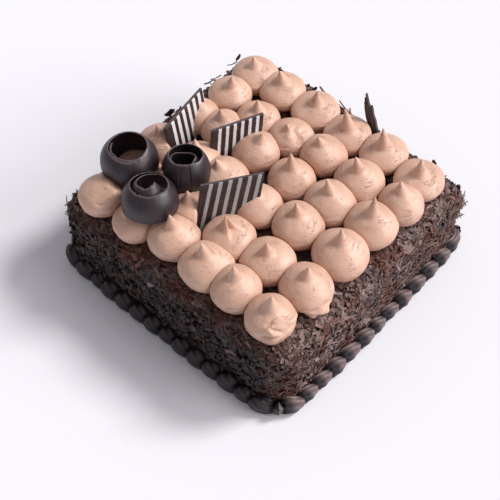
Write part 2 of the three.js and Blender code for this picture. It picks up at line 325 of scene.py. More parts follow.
# Painted highlight for the curls' top rims and the plates' edges, and the shard's pale tint.
CURL_PALE_AND_PAINTED_HIGHLIGHT = (0.20, 0.150, 0.165)
PLATE_TONES = ((0.022, 0.013, 0.014), (0.045, 0.029, 0.030))
WHITE = (0.75, 0.72, 0.76)
GREY = (0.36, 0.345, 0.36)


def cream_finish():
    """Whipped milk chocolate cream: satin, with fine rings, short cracks and a few pits, which are
    bumped in and darkened with painted shade.
    """
    finish = Finish("cream", roughness=0.47, specular=0.7)
    place = finish.place()
    colour = finish.ramp(finish.noise(70, 2, place), (0.3, 0.7), CREAM_TONES)
    lines = finish.noise(1.0, 5, finish.stretched(place, (55, 55, 620)), 0.55)
    near_line = finish.math("ABSOLUTE", finish.math("SUBTRACT", lines, 0.5))
    crack = finish.times(finish.between(near_line, 0.020, 0.0),
                         finish.between(finish.noise(110, 2, place), 0.50, 0.62))
    # Painted shade darkens the cracks.
    colour = finish.mix(finish.times(crack, 0.35), colour, CREAM_CRACK_SHADE)
    cells = finish.node("TexVoronoi", Scale=260.0)
    finish.link(place, cells.inputs["Vector"])
    chosen = finish.math("GREATER_THAN", finish.red(cells.outputs["Color"]), 0.86)
    pit = finish.times(finish.between(cells.outputs["Distance"], 0.13, 0.06), chosen)
    # Painted shade darkens the pits.
    colour = finish.mix(pit, colour, CREAM_PIT_SHADE)
    rings = finish.node("TexWave", bands_direction="Z", Scale=250.0, Distortion=6.0,
                        Detail=3.0)
    finish.link(place, rings.inputs["Vector"])
    faint = finish.bump(rings.outputs["Fac"], 0.00008, 0.5, finish.grain(600, 0.00028, 0.7))
    whole = finish.math("SUBTRACT", 1.0, finish.math("MAXIMUM", crack, pit))
    return finish.done(colour, finish.bump(whole, 0.0004, 0.7, faint))


def shavings_finish(name, tones, roughness):
    """Chocolate shavings: each flake has a tone of its own, from dark through brown to bloom; for
    the flakes, painted light and shade by side is added to that tone.
    """
    finish = Finish(name, roughness=roughness, specular=0.4)
    place = finish.place()
    tone = finish.tone()
    mottled = finish.math("ADD", tone, finish.times(finish.noise(420, 4, place), 0.3))
    colour = finish.ramp(mottled, (0.15, 0.6, 1.0), tones)
    reddish = finish.times(finish.between(finish.noise(50, 3, place), 0.45, 0.58),
                           finish.times(finish.between(tone, 0.0, 0.45), 0.7))
    colour = finish.mix(reddish, colour, REDDISH)
    bluish = finish.times(finish.between(finish.noise(60, 3, place), 0.56, 0.66), 0.5)
    colour = finish.mix(bluish, colour, BLUISH)
    return finish.done(colour, finish.grain(1300, 0.00018, 0.8))


def border_finish():
    """Dark chocolate cream: softly glossy, with a painted highlight that pales the crests."""
    finish = Finish("border", roughness=0.45, specular=0.35)
    colour = finish.ramp(finish.noise(120, 3, finish.place()), (0.35, 0.7), BORDER_TONES)
    colour = finish.mix(finish.tone(), colour, BORDER_PAINTED_HIGHLIGHT)
    return finish.done(colour, finish.grain(700, 0.00012, 0.7))


def curl_finish():
    """Smooth dark chocolate, faintly striped along the strip's width, with a painted highlight on
    the curls' top rims and the plates' edges; the shard takes a little of the same pale colour as
    its own tint.
    """
    finish = Finish("curl", roughness=0.43, specular=0.6)
    streaks = finish.noise(1.0, 4, finish.stretched(finish.lay(), (1.1, 0.035, 1.0)))
    colour = finish.ramp(finish.noise(95, 3, finish.place()), (0.3, 0.7), CURL_TONES)
    colour = finish.mix(finish.times(finish.between(streaks, 0.45, 0.75), 0.3),
                        colour, CURL_STREAK)
    colour = finish.mix(finish.times(finish.tone(), 0.75), colour, CURL_PALE_AND_PAINTED_HIGHLIGHT)
    return finish.done(colour, finish.bump(streaks, 0.0002, 0.5, finish.grain(500, 0.0001, 0.4)))


def plate_finish(name, stripe):
    """A chocolate plate's striped face. Its lay is in millimetres: along the plate, and up it."""
    finish = Finish(name, roughness=0.4, specular=0.45)
    place = finish.place()
    split = finish.node("SeparateXYZ")
    finish.link(finish.lay(), split.inputs["Vector"])
    wobble = finish.times(finish.math("SUBTRACT", finish.noise(260, 2, place), 0.5), 0.7)
    slid = finish.math("SUBTRACT", split.outputs["X"],
                       finish.times(split.outputs["Y"], stripe["lean"]))
    slid = finish.math("ADD", finish.math("SUBTRACT", slid, stripe["first"]), wobble)
    turn = finish.math("DIVIDE", slid, stripe["pitch"])
    inside = finish.math("ABSOLUTE", finish.math("SUBTRACT", finish.math("FRACT", turn), 0.5))
    gap = 0.5 - stripe["width"] / stripe["pitch"] / 2
    pale = finish.times(finish.between(inside, gap - 0.03, gap + 0.03),
                        finish.math("GREATER_THAN", slid, -stripe["width"] / 2))
    dark = finish.ramp(finish.noise(150, 3, place), (0.3, 0.7), PLATE_TONES)
    return finish.done(finish.mix(pale, dark, stripe["colour"]),
                       finish.bump(pale, 0.0002, 0.5, finish.grain(600, 0.0001, 0.4)))


CREAM = cream_finish()
COAT = shavings_finish("coat", COAT_TONES, 0.7)
FLAKE = shavings_finish("flake", FLAKE_TONES, 0.5)
BORDER = border_finish()
CURL = curl_finish()


# ---- the cake and its coat of shavings ----

def outline(quarter, share, out):
    """Points of the cake's outline, as in the part's source: x and y along one side."""
    share = np.asarray(share, float)
    corner = np.where(share < 0, CAKE_CORNERS[(quarter + 3) % 4], CAKE_CORNERS[quarter])
    straight = CAKE_SIDE / 2 - corner
    along = np.abs(share) * (straight + corner * math.pi / 4)
    turn = np.maximum(0, along - straight) / corner
    x = np.sign(share) * (np.minimum(along, straight) + (corner + out) * np.sin(turn))
    y = -straight - (corner + out) * np.cos(turn) - CAKE_BOW * (1 - share ** 2)
    angle = quarter * math.pi / 2
    across = x * math.cos(angle) - y * math.sin(angle)
    return across, x * math.sin(angle) + y * math.cos(angle) + CAKE_SKEW * across


COAT_STEPS = 120  # faces along one side of the cake
SIDE_RINGS = 43
RIM_RINGS = 9
COAT_SINK = 0.3  # how far the coat is drawn in, so its relief keeps the CAD size
BACK_DROP = 5.0  # how far the top's back edge has sagged
BACK_DROP_X = (-10, 8)  # where the sag sets in, along X, Y and up
BACK_DROP_Y = (84, 98)
BACK_DROP_Z = 30


def coat_points():
    """The coat's surface without its relief: rings up the sides and round the rim, then the top."""
    share = np.linspace(-1, 1, COAT_STEPS + 1)[:-1]
    upright = [(0.0, z) for z in np.linspace(0, CAKE_TOP - CAKE_RIM, SIDE_RINGS)]
    arc = [(-CAKE_RIM * (1 - math.cos(a)), CAKE_TOP - CAKE_RIM * (1 - math.sin(a)))
           for a in np.linspace(0, math.pi / 2, RIM_RINGS)[1:]]
    rings = []
    for out, z in upright + arc:
        x, y = (np.concatenate(c) for c in zip(*(outline(q, share, out) for q in range(4))))
        rings.append(spread(x, y, z))
    ring_size = 4 * COAT_STEPS
    faces = [grid_faces(len(rings), ring_size, closed=True)]
    rim = rings[-1]
    n = COAT_STEPS
    loops = [(side * n + np.arange(n + 1)) % ring_size for side in range(4)]
    front, right, back, left = (rim[loop] for loop in loops)
    back, left = back[::-1], left[::-1]
    u = np.linspace(0, 1, n + 1)[None, :, None]
    v = np.linspace(0, 1, n + 1)[:, None, None]
    top = ((1 - v) * front[None] + v * back[None] + (1 - u) * left[:, None] + u * right[:, None]
           - (1 - u) * (1 - v) * front[0] - u * (1 - v) * front[-1]
           - (1 - u) * v * back[0] - u * v * back[-1])
    start = (len(rings) - 1) * ring_size
    number = np.empty((n + 1, n + 1), int)
    for side, loop in enumerate(loops):
        np.rot90(number, side)[0] = start + loop
    number[1:-1, 1:-1] = len(rings) * ring_size + np.arange((n - 1) ** 2).reshape(n - 1, n - 1)
    points = np.concatenate(rings + [top[1:-1, 1:-1].reshape(-1, 3)])
    faces.append(np.stack([number[:-1, :-1], number[:-1, 1:], number[1:, 1:], number[1:, :-1]],
                          axis=-1).reshape(-1, 4))
    return points, np.concatenate(faces)


def coat_relief(points):
    """How far the coat stands out at each point."""
    lumps = 0.8 * smooth_noise(points, 9, 1) + 0.7 * smooth_noise(points, 4, 2)
    fine = 0.55 * np.abs(smooth_noise(points, 2.3, 3)) + 0.3 * smooth_noise(points, 1.5, 4)
    return (lumps + fine) * smooth_step(points[:, 2], 2, 14)


def make_coat():
    points, faces = coat_points()
    x, y, z = points.T
    at_back = smooth_step(y, *BACK_DROP_Y) * smooth_step(x, *BACK_DROP_X)
    points[:, 2] -= BACK_DROP * at_back * smooth_step(z, BACK_DROP_Z, CAKE_TOP)
    normals = vertex_normals(points, faces)
    points = points + normals * (coat_relief(points) - COAT_SINK)[:, None]
    tone = 0.35 + 0.25 * smooth_noise(points, 5, 5)
    make_piece("coat", points, faces, [COAT], ["cake_block"], tone=tone)
    return points, faces, normals


# ---- where the striped plates stand ----

# foot: the middle of its lower edge. slant: how far its ends lean along it, for each mm up it.
# stripe: its sizes in millimetres along the plate, and its lean as the plate's slant.
PLATES = [
    {"name": "plate_left", "foot": (-67.2, -2.5), "length": 44, "height": 32, "yaw": 100,
     "lean_back": 10, "slant": 0.05,
     "stripe": {"first": 7.5, "pitch": 6.2, "width": 3.0, "lean": 0.05, "colour": WHITE}},
    {"name": "plate_middle", "foot": (-34, 6), "length": 38.5, "height": 32, "yaw": 67,
     "lean_back": 10, "slant": 0.16,
     "stripe": {"first": 6, "pitch": 5.6, "width": 2.3, "lean": 0.16, "colour": WHITE}},
    {"name": "plate_front", "foot": (1.5, -41.5), "length": 42, "height": 38, "yaw": 57,
     "lean_back": 18, "slant": 0.22,
     "stripe": {"first": 3.7, "pitch": 6.5, "width": 2.6, "lean": 0.30, "colour": GREY}},
]
PLATE_GAP = 0.1  # between a plate and a kiss pressed by it
PRESS_FROM = 6.0  # a kiss standing nearer to a plate than this is left whole


def plate_turn(plate):
    """The plate's own axes as columns: along it, up it and out of its striped face."""
    return np.array(Matrix.Rotation(math.radians(plate["yaw"]), 3, "Z")
                    @ Matrix.Rotation(math.radians(90 - plate["lean_back"]), 3, "X"))


# ---- the kisses ----

def read_kiss(node):
    """Where a kiss stands, its radius and its tip, from the CAD node of that name."""
    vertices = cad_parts[node].data.vertices
    points = np.empty(3 * len(vertices))
    vertices.foreach_get("co", points)
    points = points.reshape(-1, 3) / MM
    foot_z = points[:, 2].min()
    foot = points[points[:, 2] < foot_z + 0.05]
    middle = (foot.min(axis=0) + foot.max(axis=0)) / 2
    radius = (foot[:, 0].max() - foot[:, 0].min()) / 2 / KISS_FOOT_SHARE
    near_tip = points[points[:, 2] > points[:, 2].max() - 0.05].mean(axis=0)
    height = near_tip[2] - foot_z
    lean = np.zeros(2)
    if height > KISS_SHOULDER + 1:
        height = KISS_SHOULDER + (height - KISS_SHOULDER) / KISS_POINT
        lean = near_tip[:2] - middle[:2]
    else:
        height = KISS_HIDDEN_TIP
    return {"name": node, "at": middle, "radius": radius, "tip": height, "lean": lean}


KISSES = [read_kiss(f"kiss_{i}_{j}") for j in range(1, 7) for i in range(1, 7)]

KISS_GRID = (56, 72)  # points up a kiss and round it
FOLDED_KISS_GRID = (90, 104)  # the same where clear folds need it
FAINT_FOLDS = 5  # random faint creases on each kiss
NOTCH_BELOW_TIP = (13, 9)  # where a notch sets in, and where it is full
HOOK_FROM = 0.72  # the share of a kiss's height above which a hook bends it
FOLD_WANDER = 0.7  # how far a crease strays up and down
FOLD_BREADTH = 0.45  # of the faintest crease
FOLD_BROADER = 0.2  # for each millimetre of its depth

# What sets single kisses apart. tip: its height where a curl has pressed it down. dome: the
# height of its round part. width: how broad its peak is. hook: how far the tip folds over, along
# X, Y and down. shift: how far it stands from the CAD kiss. lumps: swellings, [x, y, z, radius,
# height]. folds: creases, [turn, z, half-length as a turn, depth, rise for each radian where it
# slants]. notch: a groove up the peak, (turn, half-width as a turn, depth as a share).
ODD_KISSES = {
    "kiss_1_1": {"tip": 25.5, "width": 8, "hook": (3, 4, 2.5),
                 "lumps": [[9, 2, 18, 5, 2.2], [2, 9, 20, 4, 1.6]],
                 "folds": [[-0.5, 17, 0.5, 1.3], [-1.5, 6, 0.5, 0.8]]},
    "kiss_1_2": {"tip": 22, "dome": 20.5, "shift": (2.2, 1.6)},
    "kiss_2_1": {"tip": 23, "dome": 20.5},
    "kiss_4_2": {"dome": 21, "width": 5, "notch": (0.0, 0.6, 0.96), "folds": []},
    "kiss_5_2": {"dome": 20.5, "folds": [[1.4, 17, 0.4, 0.5]]},
    "kiss_3_5": {"width": 3.8, "notch": (0.2, 0.6, 0.35),
                 "lumps": [[6, 3, 20, 3.6, 2.4], [4, -5, 20, 3, 1.3]],
                 "folds": [[0.1, 17.5, 0.6, 0.8]]},
    "kiss_1_5": {"dome": 20},
    "kiss_2_5": {"dome": 21},
    "kiss_1_6": {"dome": 19},
    "kiss_2_6": {"dome": 19.5, "width": 5},
    "kiss_3_6": {"dome": 17.5, "width": 5, "folds": [[-0.8, 5, 0.4, 1.0]]},
    "kiss_4_6": {"dome": 17, "width": 5},
    "kiss_5_6": {"dome": 18.5, "width": 5},
    "kiss_6_6": {"dome": 17.5, "width": 4.6},
    "kiss_6_1": {"width": 4.8,
                 "lumps": [[11, -10, 15, 4, 1.4], [9, -9, 7.5, 4.5, 1.6], [11, 6, 15, 4, 0.9]],
                 "folds": [[-0.92, 20.2, 0.22, 1.2], [-0.62, 17.6, 0.26, 1.8, -8],
                           [-0.85, 14.6, 0.33, 1.7], [0.45, 18.4, 0.42, 1.7, -7]]},
    "kiss_6_2": {"lumps": [[13.6, -9.3, 6.5, 2.4, 2.6], [15.8, -5.6, 8, 2.6, 2.8],
                           [16.6, -1.4, 6.5, 2.4, 2.4]],
                 "folds": [[-0.45, 11.5, 0.45, 1.7], [-0.7, 7.6, 0.2, 1.6], [-0.2, 8.2, 0.2, 1.6]]},
}


def kiss_outline(kiss, count):
    """Radius and height up the kiss: a full belly, a round dome and a peak drawn up from it."""
    radius, tip = kiss["radius"], kiss["tip"]
    dome_top = min(kiss.get("dome", KISS_DOME), tip - PEAK_LEAST)
    foot = math.sqrt(1 - KISS_FOOT ** 2)
    up = np.linspace(0, 1, 60)
    wide = radius * np.cos(np.linspace(0, math.pi / 2, 400))[1:]
    dome = KISS_BELLY + (dome_top - KISS_BELLY) * np.sqrt(1 - (wide / radius) ** 2)
    inside = 1 - (np.hypot(wide, PEAK_TIP) - PEAK_TIP) / kiss.get("width", PEAK_WIDTH)
    peak = (tip - dome_top) * 0.5 * (inside + np.sqrt(inside ** 2 + 0.05))
    radii = np.concatenate([radius * np.sqrt(1 - ((1 - up) * foot) ** 2), wide])
    heights = np.concatenate([KISS_BELLY * up, dome + peak])
    finer_at_peak = 1 + 1.6 * np.exp(-radii[1:] / 4)
    length = np.concatenate([[0], np.cumsum(np.hypot(np.diff(radii), np.diff(heights))
                                            * finer_at_peak)])
    even = np.linspace(0, length[-1], count)
    return np.interp(even, length, radii), np.interp(even, length, heights)


def press_flat(points, kiss):
    """Keeps the kiss on its own side of the flat where it meets each neighbour."""
    for other in KISSES:
        across = other["at"][:2] - kiss["at"][:2]
        apart = np.hypot(*across)
        reach = kiss["radius"] + other["radius"]
        if other["name"] == kiss["name"] or apart > reach:
            continue
        across = across / apart
        limit = apart * kiss["radius"] / reach + 0.05
        over = (points[:, :2] - kiss["at"][:2]) @ across - limit
        soft = 0.5
        excess = soft * np.log1p(np.exp(np.clip(over / soft, -30, 30)))
        points[:, :2] -= excess[:, None] * across
    return points


def press_on_plates(points, kiss):
    """Keeps a kiss that stands beside a plate on its own side of it."""
    for plate in PLATES:
        turned = plate_turn(plate)
        foot = [*plate["foot"], CAKE_TOP + PLATE_FOOT]
        along, _, out = (np.append(kiss["at"][:2], CAKE_TOP + KISS_BELLY) - foot) @ turned
        if abs(along) > plate["length"] / 2 or abs(out) < PRESS_FROM:
            continue
        local = (points - foot) @ turned
        from_end = plate["length"] / 2 - np.abs(local[:, 0] - plate["slant"] * local[:, 1])
        share = smooth_step(from_end, -1.5, 1.5) * (local[:, 1] < plate["height"])
        kept = (np.maximum(local[:, 2], PLATE_GAP) if out > 0
                else np.minimum(local[:, 2], -PLATE_THICK - PLATE_GAP))
        local[:, 2] += share * (kept - local[:, 2])
        points = local @ turned.T + foot
    return points


def fold_depth(angle, height, fold):
    """A crease round part of a kiss, with the cream swollen just under it."""
    turn, z, half, depth, *slope = fold
    off = turn_from(angle, turn)
    share = np.exp(-(off / half) ** 4)
    bent = z + FOLD_WANDER * np.sin(off * 6) + sum(slope) * off
    breadth = FOLD_BREADTH + FOLD_BROADER * depth
    return depth * share * (0.8 * np.exp(-((height - bent + 2.3 * breadth) / (1.7 * breadth)) ** 2)
                            - np.exp(-((height - bent) / breadth) ** 2))


def make_kiss(kiss, number):
    odd = ODD_KISSES.get(kiss["name"], {})
    rows, columns = FOLDED_KISS_GRID if "folds" in odd else KISS_GRID
    kiss = kiss | odd
    radius, z = kiss_outline(kiss, rows)
    angle = np.tile(np.arange(columns) * 2 * math.pi / columns, rows)
    wide = np.repeat(radius, columns)
    height = np.repeat(z, columns)
    if "notch" in kiss:
        turn, half, depth = kiss["notch"]
        share = smooth_step(kiss["tip"] - height, *NOTCH_BELOW_TIP)
        wide = wide * (1 - depth * share * np.exp(-(turn_from(angle, turn) / half) ** 4))
    shape = spread(wide * np.cos(angle), wide * np.sin(angle), height)
    seed = 10 + number
    away = unit(shape - [0, 0, KISS_BELLY])
    near_axis = np.clip(wide / kiss["radius"] * 2.2, 0, 1)
    swell = (0.6 * smooth_noise(shape, 13, seed) + 0.2 * smooth_noise(shape, 4.5, seed)) * near_axis
    swell += 0.08 * smooth_noise(shape * [0.3, 0.3, 1], 1.2, seed) * near_axis
    folds = [[DICE.uniform(-2.2, 1.2), DICE.uniform(3, 16), DICE.uniform(0.15, 0.5),
              DICE.uniform(0.2, 0.55)] for _ in range(FAINT_FOLDS)]
    for fold in folds + kiss.get("folds", []):
        swell += fold_depth(angle, height, fold) * near_axis
    for *centre, size, rise in kiss.get("lumps", []):
        swell += rise * np.exp(-((shape - centre) ** 2).sum(axis=1) / size ** 2)
    shape += away * swell[:, None]
    share = np.clip(shape[:, 2] / kiss["tip"], 0, 1)
    shape[:, :2] += kiss["lean"] * (share ** 3)[:, None]
    *aside, down = kiss.get("hook", (0, 0, 0))
    folded = np.clip((share - HOOK_FROM) / (1 - HOOK_FROM), 0, 1) ** 2
    shape[:, :2] += folded[:, None] * aside
    shape[:, 2] -= folded * down
    at = [*(kiss["at"][:2] + kiss.get("shift", (0, 0))), CAKE_TOP - KISS_SINK]
    points = press_on_plates(press_flat(shape + at, kiss), kiss)
    faces = grid_faces(rows, columns, closed=True)
    make_piece(kiss["name"].replace("kiss", "cream_kiss"), points, faces, [CREAM],
               [kiss["name"]])


# ---- the piped border ----

# For each side, from the front: how far each shell slants, how short its tail is, and how far
# the shells are moved along the side. The first and the last are in shares of one shell.
SHELLS = ((0.24, 0.8, 0), (-0.32, 0.9, 0.4), (-0.32, 0.9, 0), (0.24, 0.8, 0))
CREST_PAINTED_HIGHLIGHT = (0.06, 1.0, 0.5, 0.1)  # how strongly a painted highlight pales the shells' crests on each side, most on the lit right side
SHELL_ROWS = 24  # rows of points along one shell
SHELL_AROUND = 34  # points over its back, from the coat to the floor
SHELL_ARC = (-0.55 * math.pi, 1.02 * math.pi)
SHELL_MIDDLE = (0.38, 0.46)  # where the arc's middle lies, as shares of the way out and up
SHELL_THIN = 0.33  # size of its tail's end, as a share of its head
SHELL_GROOVES = 8


def make_border(quarter, side):
    """One side's run of piped shells, each with a round head that tapers under the next."""
    count = BEADS[quarter] * SHELL_ROWS
    row = np.linspace(-1, 1, count + 1)[:, None]
    turn = np.linspace(*SHELL_ARC, SHELL_AROUND)[None, :]
    uneven = 0.12 * smooth_noise(row * [[7.0, 0, 0]] + [0, 9.0 * quarter, 0], 1.0, 50)[:, None]
    slant, tail, shift = SHELLS[quarter]
    phase = ((row + 1) / 2 * BEADS[quarter] + (uneven + shift) * (1 - row ** 8)
             + slant * np.cos(turn - 0.3))
    bead = np.floor(phase)
    within = phase - bead
    head = np.sqrt(np.maximum(0, 1 - (2 * within ** tail - 1) ** 2)) ** 0.8
    size = SHELL_THIN + (1 - SHELL_THIN) * head
    size *= 1 + 0.06 * np.sin(bead * 2.4 + quarter) + 0.05 * np.sin(bead * 5.1)
    groove = np.cos(SHELL_GROOVES * turn + 9 * within + 0.7 * np.sin(bead * 3.7))
    size += 0.035 * groove * head
    out_middle, up_middle = SHELL_MIDDLE
    out = BORDER_OUT * size * (out_middle + (1 - out_middle) * np.cos(turn))
    z = np.maximum(0, BORDER_HEIGHT * size * (up_middle + (1 - up_middle) * np.sin(turn)))
    points = spread(*outline(quarter, row, out), z)
    # A painted highlight on each shell's crest, stronger where the grooves stand out.
    crest = smooth_step(within, 0.12, 0.45) * smooth_step(turn, -0.5, 0.2) * (0.75 + 0.35 * groove)
    tone = CREST_PAINTED_HIGHLIGHT[quarter] * crest * (1 - smooth_step(within, 0.8, 0.98))
    make_piece(f"beads_{side}", points, grid_faces(count + 1, SHELL_AROUND), [BORDER],
               [f"border_{side}"], tone=np.clip(tone, 0, 1).ravel())


# ---- the rolled curls ----

# Each curl is a strip rolled into a barrel. at: the middle of its belly. below, above: how far
# the strip reaches from there. bulge: how far below and above the barrel would close. laps: how
# often it goes round. winding: 1 where the strip turns towards +Y from +X. start: the turn of its
# outer end. shrink: how much closer the inner lap lies, reached over that share of a lap. slide:
# how far the inner lap is moved. rise: how much it stands out. lobes: how far the inner lap's
# three corners stand out, and the turn of the first. flare: how far the outer end stands off.
# tilt: how far the curl leans, as turns about X and Y.
CURLS = [
    {"name": "curl_left", "at": (-75, -53.5, 84.6), "radius": 19.8, "below": 15, "above": 13.6,
     "bulge": (27, 18.6), "laps": 1.42, "winding": -1, "start": -0.1, "shrink": (0, 1),
     "slide": (0, 0), "rise": 0, "lobes": (0, 0), "flare": 0.8, "tilt": (0, 0)},
    {"name": "curl_right", "at": (-40, -35, 85), "radius": 16.2, "below": 10, "above": 14.5,
     "bulge": (17, 21), "laps": 1.93, "winding": 1, "start": -0.55, "shrink": (1.6, 0.2),
     "slide": (0.8, -3.4), "rise": -1.5, "lobes": (0.9, -0.83), "flare": 0,
     "tilt": (-0.15, -0.12)},
    {"name": "curl_front", "at": (-39, -69, 88), "radius": 18.8, "below": 5, "above": 12.7,
     "bulge": (40, 17.5), "laps": 1.86, "winding": 1, "start": 1.7, "shrink": (6.8, 0.86),
     "slide": (1.5, -1.0), "rise": 3, "lobes": (0, 0), "flare": 0, "tilt": (-0.16, -0.15)},
]
CURL_ACROSS = 30  # points over the strip's width
CURL_PER_LAP = 150
RIM_SHARE = 0.985  # the part of the strip's half-width within its rounded rims
RIM_ROUND = 0.3
RIM_PAINTED_HIGHLIGHT = 0.6  # how strongly the curls' top rims and the plates' edges are painted paler: a painted highlight


def make_curl(curl, number):
    across = CURL_ACROSS
    steps = int(curl["laps"] * CURL_PER_LAP)
    level = np.concatenate([np.linspace(-1, 1, across), np.linspace(1, -1, across)])
    edge = np.abs(level) > RIM_SHARE
    lap = np.linspace(0, curl["laps"], steps + 1)[:, None]
    angle = curl["start"] + curl["winding"] * lap * 2 * math.pi
    wall = CURL_END_WALL + (CURL_WALL - CURL_END_WALL) * smooth_step(lap, 0, CURL_TAPER)
    wall = wall * (1 - 0.4 * smooth_step(np.abs(level), 0.65, 1))
    depth = np.repeat([0, 1], across) * wall
    shrink, shrink_over = curl["shrink"]
    inner = smooth_step(lap, 1, 1 + shrink_over)
    inward = smooth_step(lap, TUCK_FROM, 1) * (CURL_END_WALL + CURL_CLEAR) + shrink * inner
    inward = inward + smooth_step(lap, 1, 1 + CURL_TAPER) * (CURL_WALL - CURL_END_WALL)
    inward = inward - curl["flare"] * np.exp(-lap / CURL_TAPER)
    corners, first = curl["lobes"]
    inward = inward - inner * corners * np.cos(3 * (angle - first))
    rim = 10 * spread(np.cos(angle), np.sin(angle), lap)
    waver = (1 + 0.03 * smooth_noise(rim, 6, 60 + number)
             + 0.022 * smooth_noise(rim, 1.6, 65 + number))[:, None]
    height = np.where(level < 0, curl["below"] * level, curl["above"] * level * waver)
    closes = np.where(level < 0, *curl["bulge"])
    belly = curl["radius"] * np.sqrt(1 - (height / closes) ** 2)
    rounded_edge = np.where(edge, RIM_ROUND, 0) * np.repeat([1, -1], across)
    radius = belly - inward - depth - rounded_edge
    x = radius * np.cos(angle) + inner * curl["slide"][0]
    y = radius * np.sin(angle) + inner * curl["slide"][1]
    points = spread(x, y, height + inner * curl["rise"])
    points += 0.3 * smooth_noise(points, 12, 70 + number)[:, None]
    # The top rims are painted paler: a painted highlight.
    tone = RIM_PAINTED_HIGHLIGHT * np.broadcast_to(edge & (level > 0), height.shape).ravel()
    lay = spread(angle * curl["radius"], height)
    turned = np.array(Euler((*curl["tilt"], 0)).to_matrix())
    points = points @ turned.T + curl["at"]
    columns = 2 * across
    faces = list(grid_faces(steps + 1, columns, closed=True))
    for start, flip in ((0, 1), (steps * columns, -1)):
        for k in range(across - 1):
            end_face = [start + k, start + columns - 1 - k, start + columns - 2 - k, start + k + 1]
            faces.append(end_face[::flip])
    make_piece("rolled_" + curl["name"], points, faces, [CURL], [curl["name"]],
               uv=lay, tone=tone)


# ---- the striped plates ----

PLATE_GRID = (34, 42)  # points up a plate and along it
PLATE_ROUND = 0.45  # how far its edges are rounded


def make_plate(plate, number):
    rows, columns = PLATE_GRID
    u = np.linspace(0, 1, columns)[None, :] * plate["length"]
    v = np.linspace(0, 1, rows)[:, None] * plate["height"]
    sheets = []
    for depth in (0, -PLATE_THICK):
        flat = spread(u - plate["length"] / 2 + plate["slant"] * v, v, depth)
        flat[:, 2] += 0.2 * smooth_noise(flat, 15, 80 + number)
        sheets.append(flat)
    from_rim = np.minimum(np.minimum(u, plate["length"] - u), plate["height"] - v)
    rounded = PLATE_ROUND * np.exp(-from_rim / 0.5).ravel()
    sheets[0][:, 2] -= rounded
    sheets[1][:, 2] += rounded
    points = np.concatenate(sheets)
    front = grid_faces(rows, columns)
    back = front[:, ::-1] + rows * columns
    side = rim_faces(rows, columns)
    faces = np.concatenate([front, back, side])
    kinds = [0] * len(front) + [1] * (len(back) + len(side))
    lay = np.concatenate([spread(u + plate["slant"] * v, v)] * 2)
    points = points @ plate_turn(plate).T + [*plate["foot"], CAKE_TOP + PLATE_FOOT]
    striped = plate_finish("striped_" + plate["name"], plate["stripe"])
    tone = np.zeros(len(points))
    # The plate's edges are painted paler: a painted highlight.
    tone[side.ravel()] = RIM_PAINTED_HIGHLIGHT
    make_piece("striped_" + plate["name"], points, faces, [striped, CURL],
               [plate["name"]], smooth=False, uv=lay, face_material=kinds, tone=tone)


# ---- the shavings ----

CHIP_CORNERS = 5
CHIP_LEAST = 2.0  # the shortest
CHIP_SPREAD = 5.6  # how much longer the longest is
CHIP_WIDTH = (0.35, 0.8)  # as a share of its length
CHIP_THICK = 0.6  # at its middle
STRIP_THICK = 0.45
# Kinds of shaving. raised: how high they lie on the coat. turn: how far they point away from
# level. tilt: how far they stand off the coat. paler: than the chips. bend: a strip's radius.
# twist: the most that one end turns from the other. stations: how many sections a strip has.
CHIP = {"count": 18500, "raised": (-0.3, 1.3), "turn": 0.7, "tilt": 0.3}
SHORT = {"count": 3600, "raised": (0.3, 1.5), "turn": 0.9, "tilt": 0.22, "paler": 0.05,
         "length": (4, 9.5), "width": (1.1, 3.0), "bend": (5, 22), "twist": 0.9, "stations": 5}
LONG = {"count": 330, "raised": (0.6, 1.8), "turn": 0.35, "tilt": 0.15, "paler": 0.1,
        "length": (9, 22), "width": (0.5, 1.1), "bend": (25, 80), "twist": 0.8, "stations": 8}
LOOSE_THICK = 0.6
LOOSE_RAISED = 0.8
LOOSE_TWIST = 0.2
LOOSE_STATIONS = 9
FLAKE_TONE = 0.40
# Painted light and shade on the flakes: paler on the top and the right side, darker on the front
# side.
TOP_PAINTED_LIGHT = 0.22
RIGHT_PAINTED_LIGHT = 0.13
FRONT_PAINTED_SHADE = 0.34
BLOOM_PALER = 0.25
BLOOM_SHARE = 0.05  # of the flakes


def on_surface(surface, kind, weigh):
    """Random spots for one kind of shaving, with the normal at each. weigh: how dense they lie."""
    points, faces, normals = surface
    count = kind["count"]
    a, b, c, d = (points[faces[:, k]] for k in range(4))
    area = np.linalg.norm(np.cross(c - a, d - b), axis=1)
    middle = (a + b + c + d) / 4
    facing = unit(normals[faces].mean(axis=1))
    chance = area * weigh(middle, facing)
    chosen = DICE.choice(len(faces), count, p=chance / chance.sum())
    u, v = DICE.random((2, count, 1))
    spots = (a[chosen] * (1 - u) * (1 - v) + b[chosen] * u * (1 - v)
             + c[chosen] * u * v + d[chosen] * (1 - u) * v)
    facing = facing[chosen]
    return spots + facing * DICE.uniform(*kind["raised"], (count, 1)), facing


def coat_weight(middle, facing):
    """How dense shavings lie: none at the foot or under the kisses, and most at the top."""
    weight = smooth_step(middle[:, 2], 5, 11)
    for kiss in KISSES:
        apart = np.hypot(*(middle[:, :2] - kiss["at"][:2]).T)
        weight = np.where((facing[:, 2] > 0.6) & (apart < 0.8 * kiss["radius"]), 0, weight)
    return weight * (1 + 0.5 * smooth_step(middle[:, 2], CAKE_TOP - 9, CAKE_TOP))


def squared(along, out):
    """Three axes square to each other: the first near along, and the last out."""
    out = unit(out)
    along = unit(along - (along * out).sum(axis=1, keepdims=True) * out)
    return along, np.cross(out, along), out


